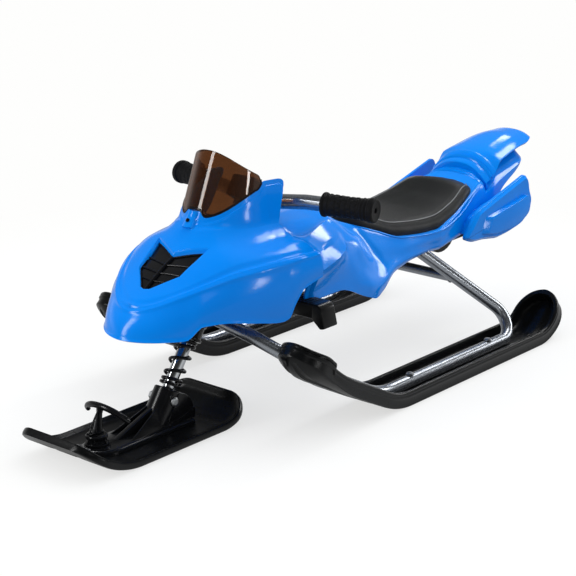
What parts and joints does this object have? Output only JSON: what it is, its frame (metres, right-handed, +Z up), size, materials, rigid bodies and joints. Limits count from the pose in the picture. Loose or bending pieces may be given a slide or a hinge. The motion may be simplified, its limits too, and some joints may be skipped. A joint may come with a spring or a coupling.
{
  "type": "steering sled",
  "caption": "Ride-on snow sled: moulded shell and padded seat on a tube frame, fixed rear skis, and a sprung front ski steered by a handlebar.",
  "frame": {"origin": "on the snow, at the middle of the length and of the width", "axes": "+Z up, -Y is the front, +X is on the right as seen from the front; X = 0 is the plane of symmetry"},
  "size_m": [0.441, 1.1406, 0.389],
  "materials": {
    "blue_shell": "glossy azure blue moulded plastic",
    "black_plastic": "satin black moulded plastic",
    "tube_paint": "silver-grey painted steel tube",
    "chrome": "polished chrome shaft",
    "bolt_steel": "zinc-plated fasteners",
    "grip_rubber": "textured black rubber",
    "seat_vinyl": "matt black vinyl over foam",
    "smoke_shield": "smoke-brown tinted clear plastic"
  },
  "bodies": {
    "chassis": {"boss_screw": "black_plastic", "bush_lower": "black_plastic", "bush_upper": "black_plastic", "cowl": "blue_shell", "foot_peg_left": "black_plastic", "foot_peg_right": "black_plastic", "frame_tube_left": "tube_paint", "frame_tube_right": "tube_paint", "head_tube": "tube_paint", "peg_bar": "tube_paint", "rear_body": "blue_shell", "rear_crossbar": "tube_paint", "rear_ski_left": "black_plastic", "rear_ski_right": "black_plastic", "seat_pad": "seat_vinyl", "seat_pan": "black_plastic", "seat_rail_left": "tube_paint", "seat_rail_right": "tube_paint", "shield_gasket": "black_plastic", "side_pod_left": "blue_shell", "side_pod_right": "blue_shell", "ski_bolt_left_front": "bolt_steel", "ski_bolt_left_rear": "bolt_steel", "ski_bolt_right_front": "bolt_steel", "ski_bolt_right_rear": "bolt_steel", "tail_spoiler": "blue_shell", "vent_grille": "black_plastic", "windshield": "smoke_shield"},
    "steering": {"steering_tube": "tube_paint", "spring_cup": "black_plastic", "handlebar_clamp": "black_plastic", "handlebar": "tube_paint", "grip_left": "grip_rubber", "grip_right": "grip_rubber"},
    "fork": {"fork_shaft": "chrome", "spring_ring": "black_plastic", "spring": "black_plastic"},
    "front_ski_assembly": {"front_ski": "black_plastic", "ski_bracket": "black_plastic", "pivot_bolt": "bolt_steel", "pivot_nut": "bolt_steel", "reel_housing": "black_plastic", "base_bolt_left": "bolt_steel", "base_bolt_right": "bolt_steel"},
    "tow_pull": {"tow_handle": "black_plastic"}
  },
  "joints": [
    {"name": "steer", "type": "hinge", "parent": "chassis", "child": "steering", "pos_m": [0, -0.355, 0.044], "axis": [0, 0.5548, 0.832], "range_deg": [-15, 15]},
    {"name": "suspension", "type": "slide", "parent": "steering", "child": "fork", "axis": [0, 0.5548, 0.832], "range_m": [0, 0.02], "stiffness_N_per_m": 6000, "springref_m": -0.012, "deforming": ["spring"]},
    {"name": "ski_pitch", "type": "hinge", "parent": "fork", "child": "front_ski_assembly", "pos_m": [0, -0.355, 0.044], "axis": [1, 0, 0], "range_deg": [-6, 8]},
    {"name": "tow_handle_pull", "type": "slide", "parent": "front_ski_assembly", "child": "tow_pull", "axis": [0, 0, 1], "range_m": [0, 0.03], "stiffness_N_per_m": 40, "springref_m": -0.03}
  ]
}
